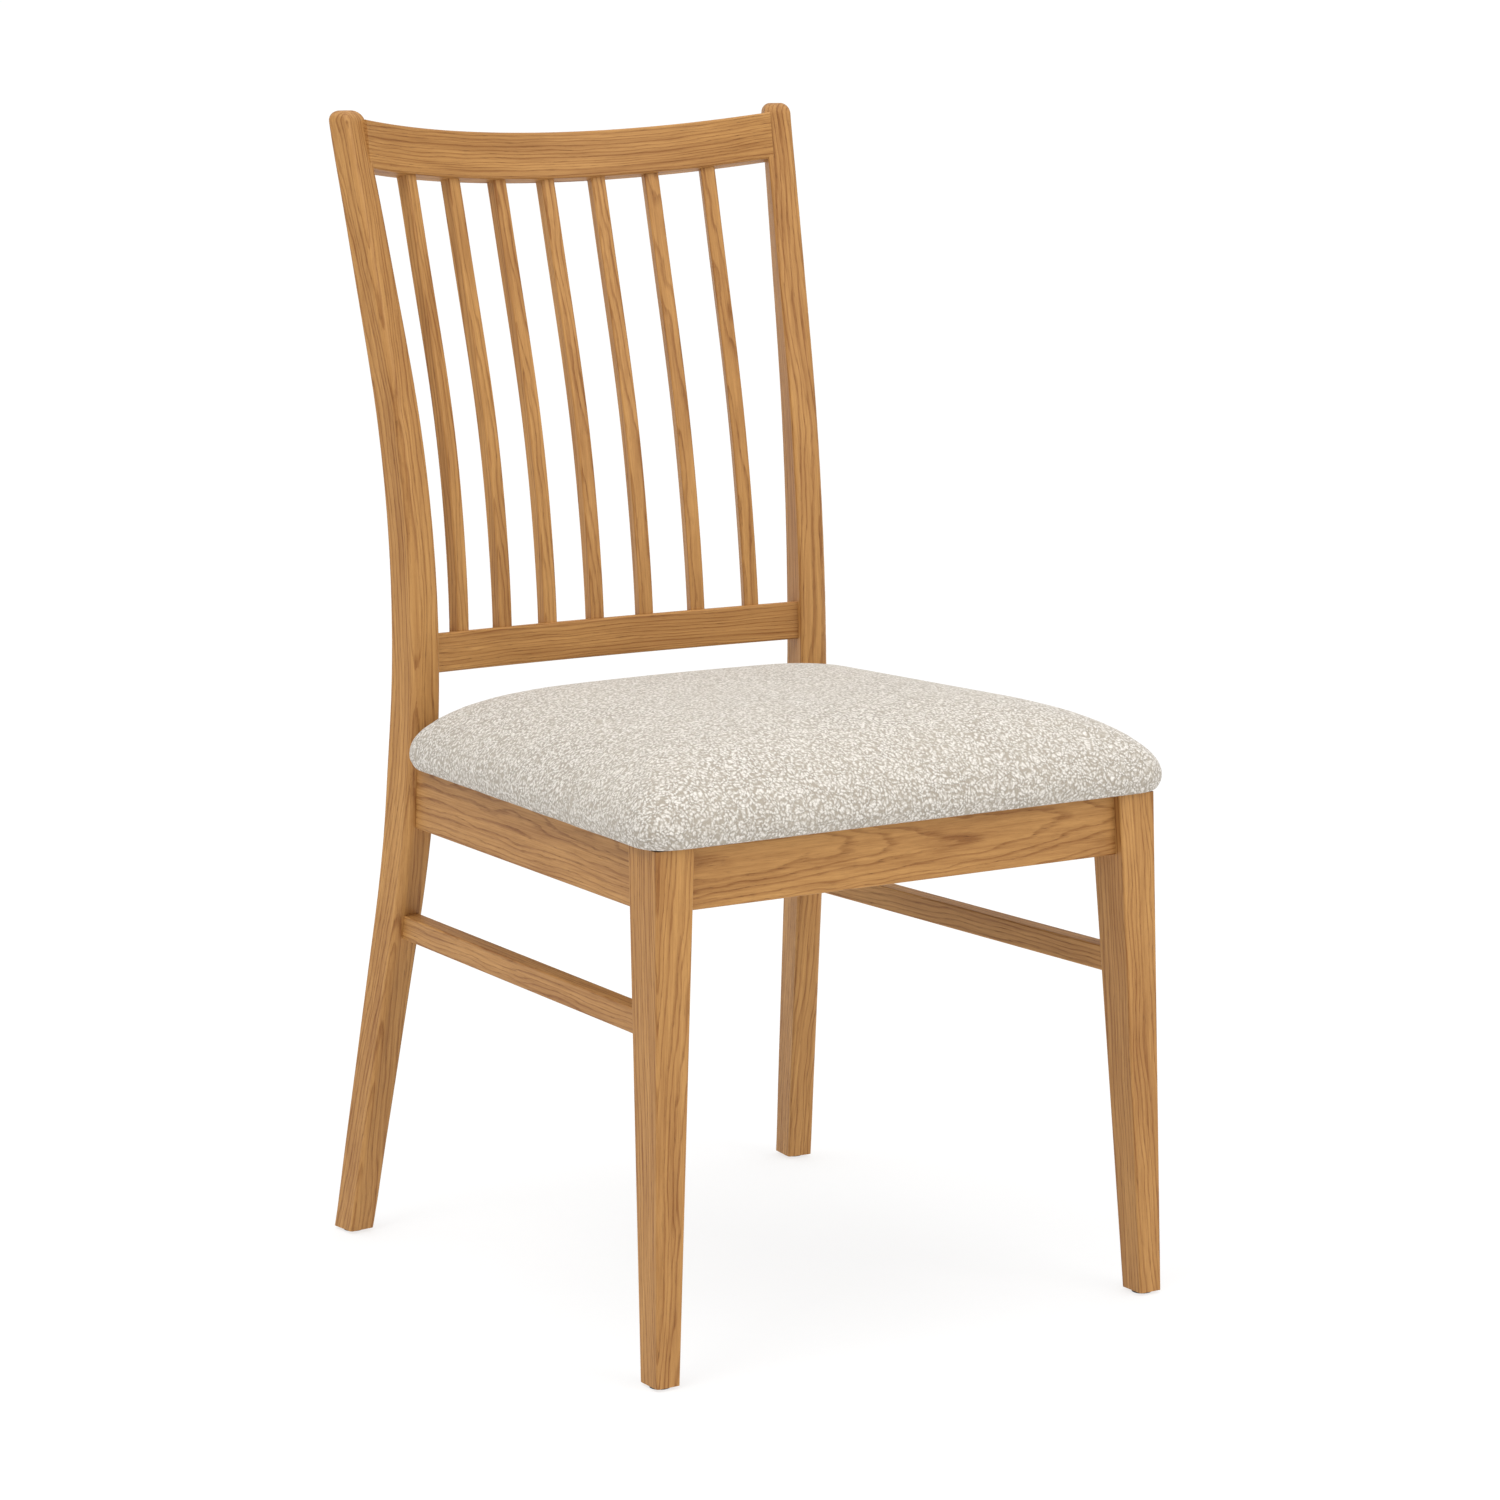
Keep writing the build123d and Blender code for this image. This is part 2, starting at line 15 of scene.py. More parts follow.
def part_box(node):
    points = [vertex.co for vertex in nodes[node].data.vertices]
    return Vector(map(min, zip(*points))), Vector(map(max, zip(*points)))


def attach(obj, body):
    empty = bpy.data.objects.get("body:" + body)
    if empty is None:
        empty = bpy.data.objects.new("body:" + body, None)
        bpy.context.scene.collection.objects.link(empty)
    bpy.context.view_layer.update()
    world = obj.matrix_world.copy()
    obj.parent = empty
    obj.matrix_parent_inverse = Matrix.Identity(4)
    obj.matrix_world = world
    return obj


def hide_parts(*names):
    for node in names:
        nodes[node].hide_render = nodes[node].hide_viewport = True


MM = 0.001

# ---------------------------------------------------------------- camera and studio
CAMERA_AZIMUTH = -32.17       # degrees from the view along +Y
CAMERA_DROP = 9.57            # degrees below level
CAMERA_ROLL = -0.32
CAMERA_DISTANCE = 3.586
CAMERA_AIM = (0.0170, -0.0196, 0.4350)
CAMERA_LENS = 103.7           # millimetres on a sensor 36 mm wide
WORLD_HORIZON = 1.03          # brightness of the surroundings at eye level, at the sides and overhead
WORLD_SIDES = 0.40
WORLD_TOP = 1.60
LIGHT_AIM = (0, 0, 0.5)
KEY_PLACE = (-2.4, -0.9, 3.4)
KEY_SIZE = (1.6, 1.6)
KEY_POWER = 32
FRONT_PLACE = (1.2, -3.4, 2.2)
FRONT_SIZE = (2.2, 1.8)
FRONT_POWER = 36
FLOOR_SIZE = 400.0
FLOOR_GLOW = 0.74             # share of the floor's white that doesn't take shadows
FLOOR_WHITE = 0.26

# ---------------------------------------------------------------- bends that the grain follows
POST_BEND = (285 * MM, 762 * MM)      # heights between which posts and slats bend back
POST_RAKE = (-0.2014, 0.243)          # backward run per unit of height below and above
CREST_ARC = (413 * MM, 17.2)          # radius, and tilt in degrees
LOWER_ARC = (479 * MM, 7.7)

# ---------------------------------------------------------------- upholstery
VOXEL = 5 * MM
CLOTH_STIFFNESS = 15
CLOTH_SHEAR = 5
CLOTH_QUALITY = 5
PAD_SMOOTHING = 2
PRESSURE = 4.0
PRESSURE_FRAMES = 20
SWELL_CAP = 2 * MM
PAD_GROWTH = (6 * MM, 4 * MM)   # how far the upholstery stands proud of the CAD cover, across and along
POST_CLEARANCE = 1.0 * MM     # space kept between the pad and the rear posts
POST_REACH = 15 * MM          # how far from a point a post is looked for
FOAM_DEPTH = 3 * MM           # foam inside the fabric's surface
BOARD_GAP = 0.3 * MM          # foam above the board
SHEET_SPACING = 8 * MM
SHEET_RISE = 0.25 * MM
SHEET_RIPPLE = 0.2 * MM
RIPPLE_SCALE = 22
RIPPLE_LAYER = 3.1

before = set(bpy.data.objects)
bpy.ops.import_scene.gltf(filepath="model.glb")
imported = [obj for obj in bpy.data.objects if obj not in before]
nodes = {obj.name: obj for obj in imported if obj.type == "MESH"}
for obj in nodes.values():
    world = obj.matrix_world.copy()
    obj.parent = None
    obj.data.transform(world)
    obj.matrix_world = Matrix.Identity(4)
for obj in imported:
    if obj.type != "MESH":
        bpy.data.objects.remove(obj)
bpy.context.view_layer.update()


# ---------------------------------------------------------------- shader helpers
class Graph:
    """Adds and links shader nodes in one tree."""

    def __init__(self, tree):
        self.tree = tree

    def put(self, socket, value):
        if isinstance(value, bpy.types.NodeSocket):
            self.tree.links.new(value, socket)
        else:
            socket.default_value = value

    def add(self, kind, inputs=(), **settings):
        node = self.tree.nodes.new("ShaderNode" + kind)
        for key, value in settings.items():
            setattr(node, key, value)
        for key, value in dict(inputs).items():
            self.put(node.inputs[key], value)
        return node

    def math(self, operation, first, second=0.0, third=0.0, clamp=False):
        node = self.add("Math", {0: first, 1: second, 2: third}, operation=operation, use_clamp=clamp)
        return node.outputs[0]

    def vector(self, operation, first, second=(0, 0, 0)):
        node = self.add("VectorMath", {0: first, 1: second}, operation=operation)
        return node.outputs[0]

    def split(self, vector):
        return self.add("SeparateXYZ", {0: vector}).outputs

    def join(self, x, y, z):
        return self.add("CombineXYZ", {0: x, 1: y, 2: z}).outputs[0]

    def noise(self, vector, detail=2.0, roughness=0.5, output="Fac"):
        inputs = {"Vector": vector, "Scale": 1.0, "Detail": detail, "Roughness": roughness}
        return self.add("TexNoise", inputs).outputs[output]

    def range(self, value, low, high, to_low=0.0, to_high=1.0):
        inputs = {"Value": value, "From Min": low, "From Max": high, "To Min": to_low, "To Max": to_high}
        return self.add("MapRange", inputs, interpolation_type="SMOOTHSTEP").outputs[0]

    def mix(self, factor, first, second, blend_type="MIX"):
        node = self.add("Mix", data_type="RGBA", blend_type=blend_type)
        for socket, value in zip((node.inputs[0], node.inputs[6], node.inputs[7]), (factor, first, second)):
            self.put(socket, value)
        return node.outputs[2]


def srgb(red, green, blue):
    """Linear colour from display values of 0 to 255."""
    def linear(value):
        part = value / 255
        return part / 12.92 if part <= 0.04045 else ((part + 0.055) / 1.055) ** 2.4
    return (linear(red), linear(green), linear(blue), 1.0)


def new_graph(name):
    """Empty material with its graph and the object's own coordinates."""
    material = bpy.data.materials.new(name)
    material.use_nodes = True
    material.node_tree.nodes.clear()
    graph = Graph(material.node_tree)
    return material, graph, graph.add("TexCoord").outputs["Object"]


def finish_material(graph, colour, roughness, height, bump_distance, bump_strength=1.0, **settings):
    """Principled surface with a bump. Settings are values that are the same all over."""
    bump = graph.add("Bump", {"Height": height, "Distance": bump_distance, "Strength": bump_strength})
    shader = graph.add(
        "BsdfPrincipled", {"Base Color": colour, "Roughness": roughness, "Normal": bump.outputs[0]}
    )
    for key, value in settings.items():
        shader.inputs[key.replace("_", " ")].default_value = value
    output = graph.add("OutputMaterial")
    graph.put(output.inputs["Surface"], shader.outputs[0])
    return shader


def paint(piece, material):
    """Gives a piece one material in every slot."""
    if not piece.material_slots:
        piece.data.materials.append(material)
    for slot in piece.material_slots:
        slot.material = material


# ---------------------------------------------------------------- wood
def wood_group(name, light, dark, pore, ring_spacing, ring_contrast, pore_amount):
    """Node group: wood from grain coordinates in metres, X along the grain, pith on the X axis."""
    group = bpy.data.node_groups.new(name, "ShaderNodeTree")
    group.interface.new_socket("Grain", in_out="INPUT", socket_type="NodeSocketVector")
    group.interface.new_socket("Color", in_out="OUTPUT", socket_type="NodeSocketColor")
    for socket in ("Height", "Roughness"):
        group.interface.new_socket(socket, in_out="OUTPUT", socket_type="NodeSocketFloat")
    g = Graph(group)
    metres = g.tree.nodes.new("NodeGroupInput").outputs[0]
    point = g.vector("SCALE", metres)
    point.node.inputs["Scale"].default_value = 1000.0

    def stretched(along, across):
        return g.vector("MULTIPLY", point, (along, across, across))

    # Growth rings around the pith, wandering along the piece
    wander = g.noise(stretched(0.006, 0.02), 3.0, output="Color")
    wander = g.vector("SUBTRACT", wander, (0.5, 0.5, 0.5))
    wander = g.vector("MULTIPLY", wander, (0.0, 15.0, 15.0))
    ripple = g.noise(stretched(0.03, 0.25), 2.0, output="Color")
    ripple = g.vector("SUBTRACT", ripple, (0.5, 0.5, 0.5))
    ripple = g.vector("MULTIPLY", ripple, (0.0, 1.6, 1.6))
    bent = g.vector("ADD", g.vector("ADD", point, wander), ripple)
    _, across, up = g.split(bent)
    radius = g.math("SQRT", g.math("ADD", g.math("MULTIPLY", across, across), g.math("MULTIPLY", up, up)))
    ring = g.math("DIVIDE", radius, ring_spacing)
    uneven = g.noise(g.join(0.0, g.math("MULTIPLY", ring, 0.45), 0.0), 1.0)
    ring = g.math("ADD", ring, g.math("MULTIPLY", uneven, 2.0))
    part = g.math("FRACT", ring)
    early = g.math("MULTIPLY", g.range(part, 0.0, 0.12), g.range(part, 0.5, 0.15))
    strength = g.noise(g.join(g.math("FLOOR", ring), 0.0, 0.0), 0.0)
    strength = g.range(strength, 0.35, 0.65, 0.45, 1.0)
    early = g.math("MULTIPLY", early, strength)

    # Fibres, pores and slow changes of tone
    fibre = g.noise(stretched(0.018, 0.9), 3.0, 0.6)
    streak = g.noise(stretched(0.008, 0.22), 2.0)
    tone = g.noise(stretched(0.005, 0.03), 2.0)
    pore_field = g.noise(stretched(0.09, 2.2), 2.0, 0.55)
    pores = g.range(pore_field, 0.56, 0.70)
    pores = g.math("MULTIPLY", pores, g.math("MULTIPLY_ADD", early, 0.75, 0.25))

    value = g.math("MULTIPLY", early, ring_contrast)
    value = g.math("MULTIPLY_ADD", g.range(fibre, 0.3, 0.7), 0.26, value)
    value = g.math("MULTIPLY_ADD", g.range(streak, 0.3, 0.7), 0.26, value)
    value = g.math("MULTIPLY_ADD", g.range(tone, 0.3, 0.7), 0.22, value, clamp=True)
    colour = g.mix(value, light, dark)
    colour = g.mix(g.math("MULTIPLY", pores, pore_amount), colour, pore)

    height = g.math("MULTIPLY_ADD", fibre, 0.25, 0.75)
    height = g.math("MULTIPLY_ADD", pores, -0.8, height)
    roughness = g.math("MULTIPLY_ADD", pores, 0.2, g.range(fibre, 0.2, 0.8, 0.46, 0.54))
    output = g.tree.nodes.new("NodeGroupOutput")
    for socket, result in zip(output.inputs, (colour, height, roughness)):
        g.put(socket, result)
    return group


def long_axis(piece):
    """Direction along a piece, from the facing of its surface, whatever its holes and its mesh."""
    mesh = piece.data
    count = len(mesh.polygons)
    normals = np.empty(count * 3)
    areas = np.empty(count)
    mesh.polygons.foreach_get("normal", normals)
    mesh.polygons.foreach_get("area", areas)
    normals = normals.reshape(count, 3)
    facing = (normals * areas[:, None]).T @ normals
    axis = Vector(np.linalg.eigh(facing)[1][:, 0])
    largest = max(axis, key=abs)
    return axis if largest > 0 else -axis


def bent_back(graph, point):
    """Coordinates in which the bent posts and slats stand straight."""
    x, y, z = graph.split(point)
    low, high = POST_BEND
    inside = graph.math("SUBTRACT", graph.math("MINIMUM", graph.math("MAXIMUM", z, low), high), low)
    past = graph.math("MAXIMUM", graph.math("SUBTRACT", z, high), 0.0)
    turn = POST_RAKE[1] - POST_RAKE[0]
    curve = graph.math("MULTIPLY", graph.math("MULTIPLY", inside, inside), turn / (high - low) / 2)
    shift = graph.math("MULTIPLY_ADD", z, POST_RAKE[0], curve)
    shift = graph.math("MULTIPLY_ADD", past, turn, shift)
    return graph.join(x, graph.math("SUBTRACT", y, shift), z)


def bent_across(graph, point, arc):
    """Coordinates in which a curved back rail is straight."""
    radius, tilt = arc
    x, y, z = graph.split(point)
    forward = graph.math("MULTIPLY", graph.math("MULTIPLY", x, x), 1 / (2 * radius))
    y = graph.math("MULTIPLY_ADD", forward, math.cos(math.radians(tilt)), y)
    z = graph.math("MULTIPLY_ADD", forward, -math.sin(math.radians(tilt)), z)
    return graph.join(x, y, z)


def wood_material(name, group, axis, centre, pith, seed, tint, lean=0.0, bend=None):
    """Wood for one piece: grain along axis, pith at a distance (sideways, upwards) from its centre."""
    material, graph, point = new_graph(name)
    if bend:
        point = bend(graph, point)
    across = axis.cross(Vector((0, 1, 0) if abs(axis.z) > 0.7 else (0, 0, 1))).normalized()
    turn = Matrix((axis, across, axis.cross(across)))
    turn = Matrix.Rotation(math.radians(lean), 3, "Z") @ turn
    shift = Vector((seed * 0.731, pith[0], pith[1])) - turn @ Vector(centre)
    mapping = graph.add("Mapping", {"Vector": point})
    mapping.inputs["Location"].default_value = shift
    mapping.inputs["Rotation"].default_value = turn.to_euler("XYZ")
    wood = graph.add("Group", node_tree=group)
    graph.put(wood.inputs[0], mapping.outputs[0])
    colour = graph.mix(1.0, wood.outputs["Color"], (*tint, 1.0), "MULTIPLY")
    finish_material(
        graph, colour, wood.outputs["Roughness"], wood.outputs["Height"], 0.12 * MM,
        Specular_IOR_Level=0.3,
    )
    return material


def middle(piece):
    """Middle of a CAD node's box."""
    low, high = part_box(piece)
    return (Vector(low) + Vector(high)) / 2


# ---------------------------------------------------------------- materials of the timber
OAK = wood_group(
    "oak", srgb(198, 148, 86), srgb(136, 86, 38), srgb(88, 52, 24), 3.1, 0.50, 0.80
)
BEECH = wood_group(
    "beech", srgb(222, 190, 148), srgb(196, 156, 112), srgb(160, 116, 78), 2.4, 0.20, 0.45
)


def bent_crest(graph, point):
    return bent_across(graph, point, CREST_ARC)


def bent_lower(graph, point):
    return bent_across(graph, point, LOWER_ARC)


UP = Vector((0, 0, 1))
ACROSS = Vector((1, 0, 0))

# Piece, bend if any, pith's place from the piece's middle, lean of the grain in degrees
timber = [
    ("front_leg_left", None, (0.052, 0.070), 0.4),
    ("front_leg_right", None, (-0.066, 0.058), -0.5),
    ("rear_post_left", bent_back, (0.075, 0.050), 0.3),
    ("rear_post_right", bent_back, (-0.060, 0.072), 0.2),
    ("crest_rail", bent_crest, (0.020, 0.090), 0.5),
    ("lower_back_rail", bent_lower, (0.030, 0.085), -0.6),
    ("front_rail", None, (0.034, 0.010), 2.2),
    ("rear_rail", None, (-0.050, 0.020), 1.0),
    ("side_rail_left", None, (0.070, 0.030), 0.8),
    ("side_rail_right", None, (-0.055, 0.045), -0.8),
    ("stretcher_left", None, (0.060, 0.062), 0.5),
    ("stretcher_right", None, (-0.048, 0.070), 0.4),
]
for number in range(1, 8):
    timber.append((f"slat_{number}", bent_back, (0.045 + 0.008 * number, 0.075 - 0.006 * number), 0.2))

for seed, (name, bend, pith, lean) in enumerate(timber):
    piece = nodes[name]
    axis = long_axis(piece)
    if bend is bent_back:
        axis = UP
    elif bend is not None:
        axis = ACROSS
    centre = middle(name)
    if bend is bent_back:
        centre = Vector((centre.x, centre.y - POST_RAKE[0] * centre.z, centre.z))
    shade = noise.noise(Vector((seed * 1.7, 0.3, 0.9)))
    tint = [1.0 + shade * share for share in (0.07, 0.09, 0.12)]
    paint(piece, wood_material("oak_" + name, OAK, axis, centre, pith, seed, tint, lean, bend))

for seed, name in enumerate(("front_left", "front_right", "rear_left", "rear_right")):
    piece_name = "corner_block_" + name
    place = middle(piece_name)
    axis = Vector((place.x, -place.y, 0)).normalized()
    block = wood_material(
        "beech_block_" + name, BEECH, axis, place, (0.05, 0.06), 30 + seed, (1, 1, 1)
    )
    paint(nodes[piece_name], block)
dowel = wood_material(
    "beech_dowel", BEECH, ACROSS, (0, 0, 0), (0.05, 0.05), 40, (1, 1, 1)
)
paint(nodes["seat_rail_dowels"], dowel)
paint(nodes["back_dowels"], dowel)


# ---------------------------------------------------------------- other hard materials
def plywood_material():
    """Birch plywood: veneers stacked upwards, with face grain from side to side."""
    material, graph, point = new_graph("plywood")
    low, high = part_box("seat_board")
    x, y, z = graph.split(graph.vector("MULTIPLY", point, (1000, 1000, 1000)))
    veneers = 7
    veneer = (high[2] - low[2]) * 1000 / veneers
    layer = graph.math("DIVIDE", graph.math("SUBTRACT", z, low[2] * 1000), veneer)
    odd = graph.math("PINGPONG", layer, 1.0)
    glue = graph.range(odd, 0.0, 0.12, 1.0, 0.0)
    face = graph.noise(graph.join(graph.math("MULTIPLY", x, 0.01), graph.math("MULTIPLY", y, 0.35), z), 4.0)
    colour = graph.mix(graph.range(face, 0.3, 0.7), srgb(224, 196, 150), srgb(196, 160, 112))
    colour = graph.mix(graph.math("MULTIPLY", glue, 0.6), colour, srgb(120, 84, 52))
    finish_material(graph, colour, graph.range(face, 0.2, 0.8, 0.6, 0.75), face, 0.1 * MM)
    return material


def steel_material():
    """Zinc-plated steel with fine wear."""
    material, graph, point = new_graph("zinc_plated_steel")
    fine = graph.noise(graph.vector("MULTIPLY", point, (900, 900, 900)), 3.0)
    broad = graph.noise(graph.vector("MULTIPLY", point, (120, 120, 120)), 2.0)
    colour = graph.mix(graph.range(broad, 0.3, 0.7), srgb(196, 194, 184), srgb(160, 160, 156))
    finish_material(graph, colour, graph.range(fine, 0.2, 0.8, 0.28, 0.46), fine, 0.02 * MM, Metallic=1.0)
    return material


def plastic_material():
    """Moulded dark plastic with a fine spark-eroded grain."""
    material, graph, point = new_graph("glide_plastic")
    grain = graph.noise(graph.vector("MULTIPLY", point, (2500, 2500, 2500)), 2.0)
    scuff = graph.noise(graph.vector("MULTIPLY", point, (260, 260, 900)), 3.0)
    colour = graph.mix(graph.range(scuff, 0.45, 0.75), srgb(44, 38, 34), srgb(78, 70, 62))
    finish_material(graph, colour, graph.range(grain, 0.3, 0.7, 0.5, 0.65), grain, 0.03 * MM)
    return material


paint(nodes["seat_board"], plywood_material())
steel = steel_material()
for name in ("block_screws", "seat_screws", "glide_nails", "cover_staples"):
    paint(nodes[name], steel)
plastic = plastic_material()
for name in ("front_left", "front_right", "rear_left", "rear_right"):
    paint(nodes["glide_" + name], plastic)


# ---------------------------------------------------------------- soft materials
def fabric_material():
    """Cream fabric with small looped pebbles, closer and darker between them: the darkness between them is
    painted shade in the hollows.
    """
    material, graph, point = new_graph("cream_boucle")
    point = graph.vector("MULTIPLY", point, (1000, 1000, 1000))
    drift = graph.noise(graph.vector("MULTIPLY", point, (0.09, 0.09, 0.09)), 2.0, output="Color")
    drift = graph.vector("MULTIPLY", graph.vector("SUBTRACT", drift, (0.5, 0.5, 0.5)), (9, 9, 9))
    curl = graph.noise(graph.vector("MULTIPLY", point, (0.55, 0.55, 0.55)), 1.0, output="Color")
    curl = graph.vector("MULTIPLY", graph.vector("SUBTRACT", curl, (0.5, 0.5, 0.5)), (1.5, 1.5, 1.5))
    place = graph.vector("ADD", graph.vector("ADD", point, drift), curl)
    loops = graph.add("TexVoronoi", {"Vector": place, "Scale": 0.42, "Smoothness": 0.35}, feature="SMOOTH_F1")
    dome_and_painted_shade = graph.range(loops.outputs["Distance"], 0.15, 0.75, 1.0, 0.0)
    yarn = graph.noise(graph.vector("MULTIPLY", point, (2.6, 2.6, 2.6)), 3.0, 0.6)
    broad = graph.noise(graph.vector("MULTIPLY", point, (0.02, 0.02, 0.02)), 2.0)
    height = graph.math("MULTIPLY_ADD", yarn, 0.35, dome_and_painted_shade)
    # Painted shade: the cream darkens towards the hollows between the loops, where the loops are low.
    colour = graph.mix(dome_and_painted_shade, srgb(158, 148, 134), srgb(242, 237, 230))
    colour = graph.mix(graph.range(yarn, 0.35, 0.7, 0.0, 0.35), colour, srgb(205, 195, 180))
    colour = graph.mix(graph.range(broad, 0.3, 0.7, 0.0, 0.12), colour, srgb(214, 205, 190))
    finish_material(
        graph, colour, graph.range(yarn, 0.2, 0.8, 0.85, 0.98), height, 0.85 * MM,
        Specular_IOR_Level=0.2, Sheen_Weight=0.25, Sheen_Roughness=0.6,
    )
    return material


def foam_material():
    """Pale open-cell foam, with painted shade darkening the hollows of its cells."""
    material, graph, point = new_graph("seat_foam")
    cells = graph.add("TexVoronoi", {"Vector": point, "Scale": 900.0})
    open_cell_and_painted_shade = graph.range(cells.outputs["Distance"], 0.1, 0.6)
    # Painted shade: the foam darkens towards the middle of each cell, where the cell is hollow.
    colour = graph.mix(open_cell_and_painted_shade, srgb(196, 182, 128), srgb(240, 230, 186))
    finish_material(graph, colour, graph.range(open_cell_and_painted_shade, 0.0, 1.0, 0.95, 0.85), open_cell_and_painted_shade, 0.3 * MM)
    return material


def dust_cloth_material():
    """Black non-woven cloth: random pressed fibres and a dotted bond."""
    material, graph, point = new_graph("black_dust_cloth")
    fibres = graph.noise(graph.vector("MULTIPLY", point, (1800, 1800, 1800)), 4.0, 0.7)
    dots = graph.add("TexVoronoi", {"Vector": point, "Scale": 700.0, "Randomness": 0.15})
    bond = graph.range(dots.outputs["Distance"], 0.15, 0.35)
    colour = graph.mix(graph.range(fibres, 0.3, 0.7), srgb(18, 18, 20), srgb(52, 52, 55))
    height = graph.math("MULTIPLY_ADD", fibres, 0.4, bond)
    finish_material(graph, colour, graph.range(fibres, 0.2, 0.8, 0.8, 0.95), height, 0.15 * MM)
    return material


# ---------------------------------------------------------------- soft pieces
def new_piece(name, mesh):
    """Object of the scene from a mesh, shaded smooth."""
    piece = bpy.data.objects.new(name, mesh)
    bpy.context.scene.collection.objects.link(piece)
    for polygon in mesh.polygons:
        polygon.use_smooth = True
    return piece


def hull_mesh(node, name):
    """Closed outer form of a CAD node without its hollow."""
    form = bmesh.new()
    form.from_mesh(nodes[node].data)
    loose = bmesh.ops.convex_hull(form, input=form.verts)
    inner = [v for v in loose["geom_interior"] + loose["geom_unused"] if isinstance(v, bmesh.types.BMVert)]
    bmesh.ops.delete(form, geom=inner, context="VERTS")
    kept = set(loose["geom"])
    old = [face for face in form.faces if face not in kept]
    bmesh.ops.delete(form, geom=old, context="FACES")
    wires = [edge for edge in form.edges if not edge.link_faces]
    bmesh.ops.delete(form, geom=wires, context="EDGES")
    mesh = bpy.data.meshes.new(name)
    form.to_mesh(mesh)
    form.free()
    return mesh


def applied(piece):
    """Replaces a piece's mesh by what its modifiers give."""
    graph = bpy.context.evaluated_depsgraph_get()
    mesh = bpy.data.meshes.new_from_object(piece.evaluated_get(graph))
    old = piece.data
    piece.modifiers.clear()
    piece.data = mesh
    bpy.data.meshes.remove(old)


def coordinates(mesh):
    """Array of a mesh's points."""
    found = np.empty(len(mesh.vertices) * 3)
    mesh.vertices.foreach_get("co", found)
    return found.reshape(-1, 3)


def set_coordinates(mesh, points):
    mesh.vertices.foreach_set("co", points.ravel())
    mesh.update()


def inflate(piece, base):
    """Swells a pad under pressure, held along its underside, and caps how far its points move."""
    start = coordinates(piece.data)
    pins = piece.vertex_groups.new(name="pins")
    under = [i for i, point in enumerate(start) if point[2] < base + VOXEL / 2]
    pins.add(under, 1.0, "REPLACE")
    cloth = piece.modifiers.new("cloth", "CLOTH")
    cloth.settings.vertex_group_mass = "pins"
    cloth.settings.effector_weights.gravity = 0.0
    cloth.settings.use_pressure = True
    cloth.settings.uniform_pressure_force = PRESSURE
    cloth.settings.tension_stiffness = CLOTH_STIFFNESS
    cloth.settings.compression_stiffness = CLOTH_STIFFNESS
    cloth.settings.shear_stiffness = CLOTH_SHEAR
    cloth.settings.quality = CLOTH_QUALITY
    cloth.point_cache.frame_end = PRESSURE_FRAMES
    scene = bpy.context.scene
    for step in range(1, PRESSURE_FRAMES + 1):
        scene.frame_set(step)
    applied(piece)
    scene.frame_set(1)
    moved = coordinates(piece.data) - start
    length = np.linalg.norm(moved, axis=1)
    share = np.minimum(1.0, SWELL_CAP / np.maximum(length, 1e-9))
    set_coordinates(piece.data, start + moved * share[:, None])


def clear_of_posts(points):
    """Moves points that are inside a rear post or too close to it out to its clearance."""
    for name in ("rear_post_left", "rear_post_right"):
        mesh = nodes[name].data
        corners = [vertex.co for vertex in mesh.vertices]
        post = BVHTree.FromPolygons(corners, [tuple(polygon.vertices) for polygon in mesh.polygons])
        for index, point in enumerate(points):
            place, normal, _, distance = post.find_nearest(Vector(point), POST_REACH)
            if place is None:
                continue
            inside = (Vector(point) - place).dot(normal) < 0
            if inside or distance < POST_CLEARANCE:
                points[index] = place + normal * POST_CLEARANCE


def seat_pad():
    """Upholstered seat: the outer form of the CAD cover, remeshed, inflated, smoothed and grown."""
    low, high = (Vector(corner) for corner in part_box("seat_cover"))
    centre = (low + high) / 2
    mesh = hull_mesh("seat_cover", "seat_upholstery")
    size = high - low
    pad = new_piece("seat_upholstery", mesh)
    remesh = pad.modifiers.new("remesh", "REMESH")
    remesh.mode = "VOXEL"
    remesh.voxel_size = VOXEL
    applied(pad)
    inflate(pad, low.z)
    smooth = pad.modifiers.new("smooth", "SMOOTH")
    smooth.iterations = PAD_SMOOTHING
    rounder = pad.modifiers.new("subdivision", "SUBSURF")
    rounder.levels = 1
    rounder.render_levels = 1
    applied(pad)
    points = coordinates(pad.data)
    for axis, growth in enumerate(PAD_GROWTH):
        points[:, axis] += (points[:, axis] - centre[axis]) * growth / (size[axis] / 2)
    points[:, 2] = np.maximum(points[:, 2], low.z)
    clear_of_posts(points)
    set_coordinates(pad.data, points)
    return pad


def foam_block(pad):
    """Foam inside the upholstery and above the board."""
    form = bmesh.new()
    form.from_mesh(pad.data)
    form.normal_update()
    for vertex in form.verts:
        vertex.co -= vertex.normal * FOAM_DEPTH
    board_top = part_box("seat_board")[1][2] + BOARD_GAP
    everything = form.verts[:] + form.edges[:] + form.faces[:]
    bmesh.ops.bisect_plane(
        form, geom=everything, plane_co=(0, 0, board_top), plane_no=(0, 0, 1), clear_inner=True
    )
    rim = [edge for edge in form.edges if edge.is_boundary]
    bmesh.ops.edgeloop_fill(form, edges=rim)
    mesh = bpy.data.meshes.new("seat_foam_block")
    form.to_mesh(mesh)
    form.free()
    return new_piece("seat_foam_block", mesh)


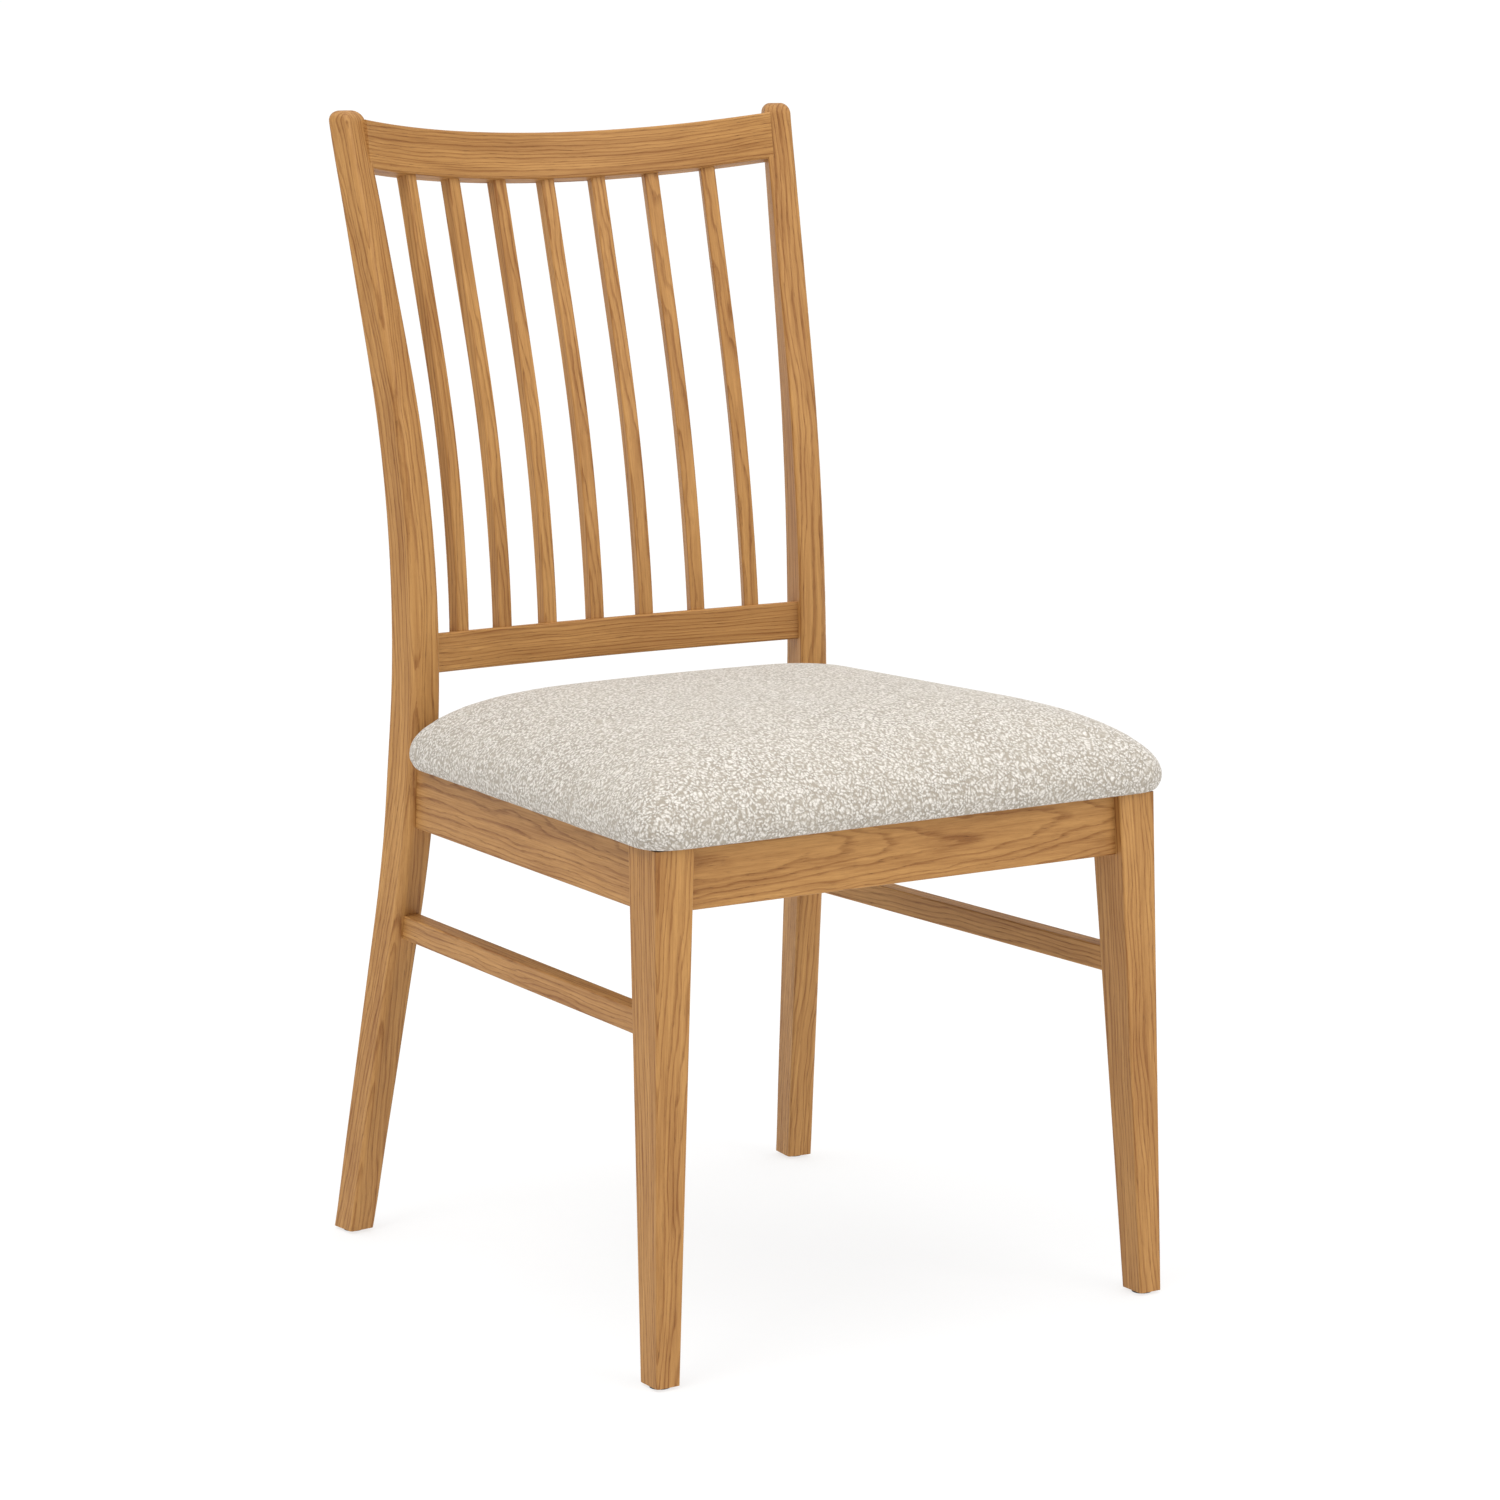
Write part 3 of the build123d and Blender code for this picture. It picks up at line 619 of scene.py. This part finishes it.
def dust_sheet():
    """Black cloth under the board, stretched between staples, with slight ripples."""
    mesh = hull_mesh("dust_cover", "dust_sheet")
    low, high = (Vector(corner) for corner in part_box("dust_cover"))
    form = bmesh.new()
    form.from_mesh(mesh)
    for axis in (0, 1):
        place = low[axis] + SHEET_SPACING
        normal = [0, 0, 0]
        normal[axis] = 1
        while place < high[axis] - SHEET_SPACING / 2:
            everything = form.verts[:] + form.edges[:] + form.faces[:]
            cut_at = [0, 0, 0]
            cut_at[axis] = place
            bmesh.ops.bisect_plane(form, geom=everything, plane_co=cut_at, plane_no=normal)
            place += SHEET_SPACING
    half = (high - low) / 2
    centre = (high + low) / 2
    for vertex in form.verts:
        across = abs(vertex.co.x - centre.x) / half.x
        along = abs(vertex.co.y - centre.y) / half.y
        reach = max(0.0, 1 - max(across, along) ** 4)
        ripple = noise.noise(Vector((vertex.co.x * RIPPLE_SCALE, vertex.co.y * RIPPLE_SCALE, RIPPLE_LAYER)))
        vertex.co.z += reach * (SHEET_RISE + SHEET_RIPPLE * ripple)
    form.to_mesh(mesh)
    form.free()
    return new_piece("dust_sheet", mesh)


pad = seat_pad()
paint(pad, fabric_material())
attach(pad, "root")
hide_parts("seat_cover")

foam = foam_block(pad)
paint(foam, foam_material())
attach(foam, "root")
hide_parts("seat_foam")

sheet = dust_sheet()
paint(sheet, dust_cloth_material())
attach(sheet, "root")
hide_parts("dust_cover")


# ---------------------------------------------------------------- studio
def floor():
    """Plain pale floor."""
    half = FLOOR_SIZE / 2
    mesh = bpy.data.meshes.new("studio_floor")
    corners = [(-half, -half, 0), (half, -half, 0), (half, half, 0), (-half, half, 0)]
    mesh.from_pydata(corners, [], [(0, 1, 2, 3)])
    piece = bpy.data.objects.new("studio_floor", mesh)
    bpy.context.scene.collection.objects.link(piece)
    material, graph, point = new_graph("studio_white")
    paper = graph.noise(graph.vector("MULTIPLY", point, (40, 40, 40)), 2.0)
    colour = graph.mix(paper, (FLOOR_WHITE,) * 3 + (1,), (FLOOR_WHITE * 0.98,) * 3 + (1,))
    shader = finish_material(graph, colour, 0.9, paper, 0.01 * MM, Specular_IOR_Level=0.0)
    shader.inputs["Emission Color"].default_value = (1, 1, 1, 1)
    shader.inputs["Emission Strength"].default_value = FLOOR_GLOW
    paint(piece, material)
    return piece


def area_light(name, place, target, size, power):
    light = bpy.data.lights.new(name, "AREA")
    light.shape = "RECTANGLE"
    light.size, light.size_y = size
    light.energy = power
    lamp = bpy.data.objects.new(name, light)
    lamp.location = place
    lamp.rotation_euler = (Vector(target) - Vector(place)).to_track_quat("-Z", "Y").to_euler()
    bpy.context.scene.collection.objects.link(lamp)


def camera():
    """Camera on the line through its aim, from its azimuth, drop, roll and distance."""
    turn = Matrix.Rotation(math.radians(CAMERA_AZIMUTH), 4, "Z")
    tilt = Matrix.Rotation(math.radians(90 - CAMERA_DROP), 4, "X")
    roll = Matrix.Rotation(math.radians(CAMERA_ROLL), 4, "Z")
    facing = turn @ tilt @ roll
    data = bpy.data.cameras.new("camera")
    data.sensor_width = 36.0
    data.lens = CAMERA_LENS
    view = bpy.data.objects.new("camera", data)
    back = facing @ Vector((0, 0, 1, 0))
    view.matrix_world = Matrix.Translation(Vector(CAMERA_AIM) + back.xyz * CAMERA_DISTANCE) @ facing
    bpy.context.scene.collection.objects.link(view)
    bpy.context.scene.camera = view


def studio_world():
    """Soft surrounding light: white at the horizon, dimmer above it and brightest overhead."""
    world = bpy.data.worlds.new("studio")
    world.use_nodes = True
    world.node_tree.nodes.clear()
    graph = Graph(world.node_tree)
    _, _, height = graph.split(graph.add("TexCoord").outputs["Generated"])
    low = graph.range(height, 0.02, 0.12, WORLD_HORIZON, WORLD_SIDES)
    high = graph.range(height, 0.35, 0.85, 0.0, WORLD_TOP - WORLD_SIDES)
    light = graph.add("Background", {"Color": (1, 1, 1, 1), "Strength": graph.math("ADD", low, high)})
    graph.put(graph.add("OutputWorld").inputs["Surface"], light.outputs[0])
    bpy.context.scene.world = world


floor()
area_light("key", KEY_PLACE, LIGHT_AIM, KEY_SIZE, KEY_POWER)
area_light("front", FRONT_PLACE, LIGHT_AIM, FRONT_SIZE, FRONT_POWER)
studio_world()
bpy.context.scene.view_settings.view_transform = "Standard"
camera()
